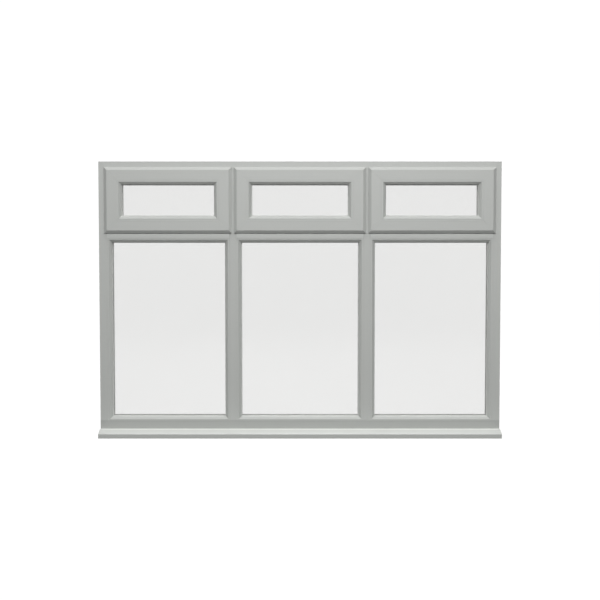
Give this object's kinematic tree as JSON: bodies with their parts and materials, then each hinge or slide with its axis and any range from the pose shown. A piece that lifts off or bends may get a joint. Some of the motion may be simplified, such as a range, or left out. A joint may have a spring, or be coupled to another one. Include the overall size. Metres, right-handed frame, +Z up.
{
  "type": "three-bay casement window with fanlights",
  "caption": "Grey plastic casement window: top-hung fanlights over fixed lights, mullions, transoms and a projecting sill.",
  "frame": {"origin": "on the flat underside of the sill, at mid-length, under the middle of the frame's depth", "axes": "+X along the window to the right as seen from outside, +Y from outside to inside, +Z up"},
  "size_m": [1.8, 0.161, 1.2335],
  "materials": {
    "foiled_plastic": "satin",
    "gasket_rubber": "matte",
    "glass": "gloss",
    "handle_metal": "satin",
    "packer_plastic": "matte",
    "sill_plastic": "satin",
    "spacer_metal": "satin"
  },
  "bodies": {
    "root": {"centre_fixed_beads": "foiled_plastic", "centre_fixed_glass": "glass", "centre_sash_beads": "foiled_plastic", "centre_sash_bottom_rail": "foiled_plastic", "centre_sash_glass": "glass", "centre_sash_left_stile": "foiled_plastic", "centre_sash_right_stile": "foiled_plastic", "centre_sash_top_rail": "foiled_plastic", "centre_transom": "foiled_plastic", "frame_bottom_rail": "foiled_plastic", "frame_head": "foiled_plastic", "frame_left_jamb": "foiled_plastic", "frame_right_jamb": "foiled_plastic", "handle_levers": "handle_metal", "handle_plates": "handle_metal", "inner_glazing_gaskets": "gasket_rubber", "left_fixed_beads": "foiled_plastic", "left_fixed_glass": "glass", "left_mullion": "foiled_plastic", "left_sash_beads": "foiled_plastic", "left_sash_bottom_rail": "foiled_plastic", "left_sash_glass": "glass", "left_sash_left_stile": "foiled_plastic", "left_sash_right_stile": "foiled_plastic", "left_sash_top_rail": "foiled_plastic", "left_sill_end_cap": "sill_plastic", "left_transom": "foiled_plastic", "outer_glazing_gaskets": "gasket_rubber", "right_fixed_beads": "foiled_plastic", "right_fixed_glass": "glass", "right_mullion": "foiled_plastic", "right_sash_beads": "foiled_plastic", "right_sash_bottom_rail": "foiled_plastic", "right_sash_glass": "glass", "right_sash_left_stile": "foiled_plastic", "right_sash_right_stile": "foiled_plastic", "right_sash_top_rail": "foiled_plastic", "right_sill_end_cap": "sill_plastic", "right_transom": "foiled_plastic", "sash_weatherseals": "gasket_rubber", "setting_blocks": "packer_plastic", "sill": "sill_plastic", "spacer_bars": "spacer_metal"}
  },
  "joints": []
}
